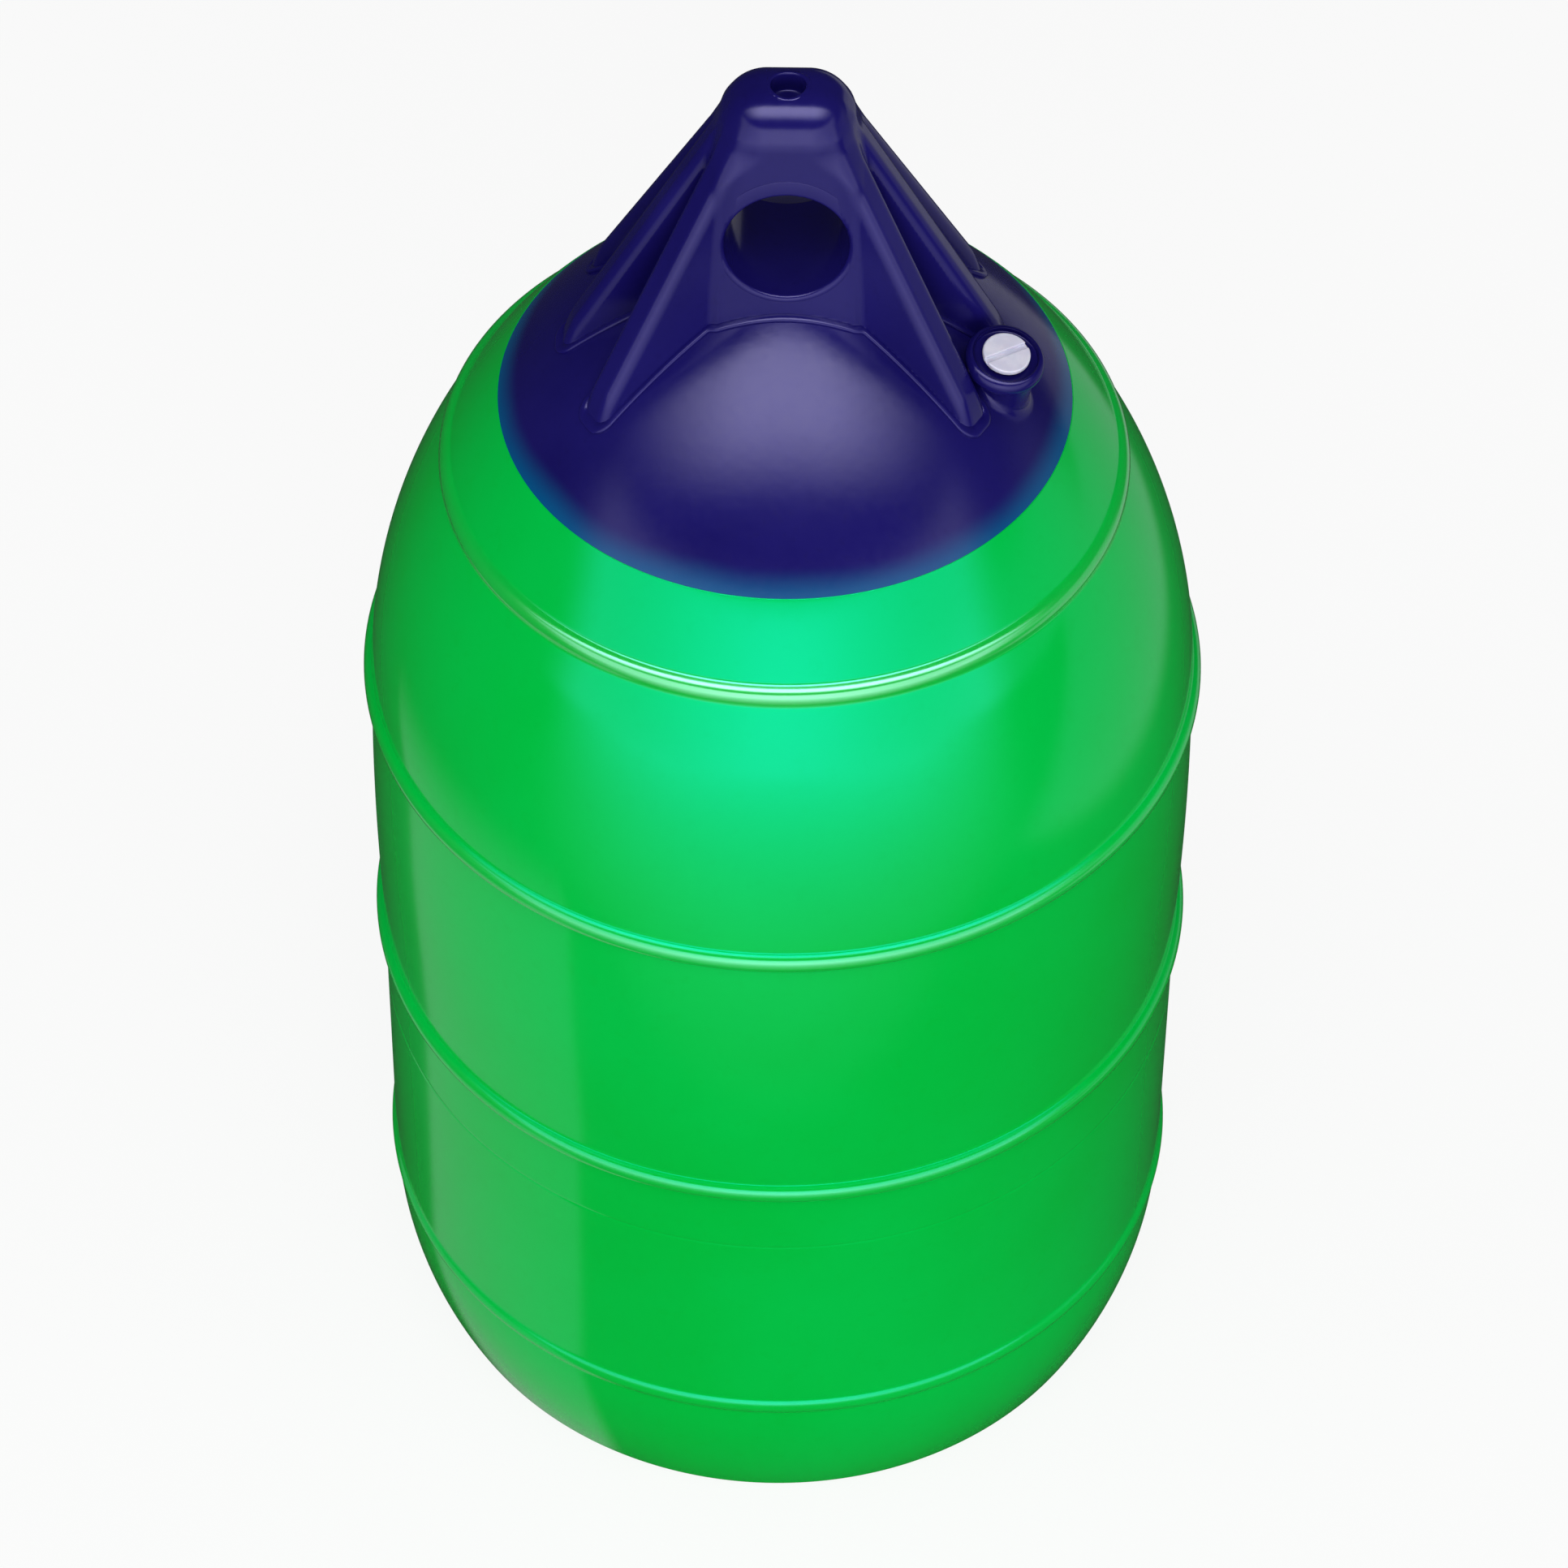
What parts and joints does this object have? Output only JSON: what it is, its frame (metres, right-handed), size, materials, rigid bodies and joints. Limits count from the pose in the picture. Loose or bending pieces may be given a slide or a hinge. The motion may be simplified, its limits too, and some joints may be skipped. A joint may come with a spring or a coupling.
{
  "type": "low drag buoy",
  "caption": "Torpedo shaped inflatable mooring buoy with moulded rings, a ribbed rope head with a cross eye, and a screw plug air valve.",
  "frame": {"origin": "on the long axis at the light waterline", "axes": "+Z along the long axis towards the rope head, -Y towards the front, so the rope eye runs from front to back along Y; the valve is on the +X side"},
  "size_m": [0.2304, 0.2304, 0.5186],
  "materials": {
    "hull_vinyl": "glossy vinyl skin",
    "head_vinyl": "glossy solid vinyl moulding",
    "plug_nylon": "semi matt nylon",
    "seal_rubber": "matt rubber"
  },
  "bodies": {
    "buoy": {"body_shell": "hull_vinyl", "head_cap": "head_vinyl", "rope_hub": "head_vinyl", "valve_boss": "head_vinyl", "rib_front_right": "head_vinyl", "rib_right": "head_vinyl", "rib_back_right": "head_vinyl", "rib_front_left": "head_vinyl", "rib_left": "head_vinyl", "rib_back_left": "head_vinyl"},
    "seal": {"valve_seal": "seal_rubber"},
    "plug": {"valve_plug": "plug_nylon"}
  },
  "joints": [
    {"name": "seal_lift", "type": "slide", "parent": "buoy", "child": "seal", "axis": [0.1479, -0.1762, 0.9732], "range_m": [0, 0.012]},
    {"name": "plug_turn", "type": "hinge", "parent": "seal", "child": "plug", "pos_m": [0.0572, -0.01814, 0.37408], "axis": [0.1479, -0.1762, 0.9732], "range_deg": [0, 1441]}
  ],
  "couplings": [
    {"joint": "plug_turn", "follows": "seal_lift", "rad_per_m": 2094.4}
  ]
}
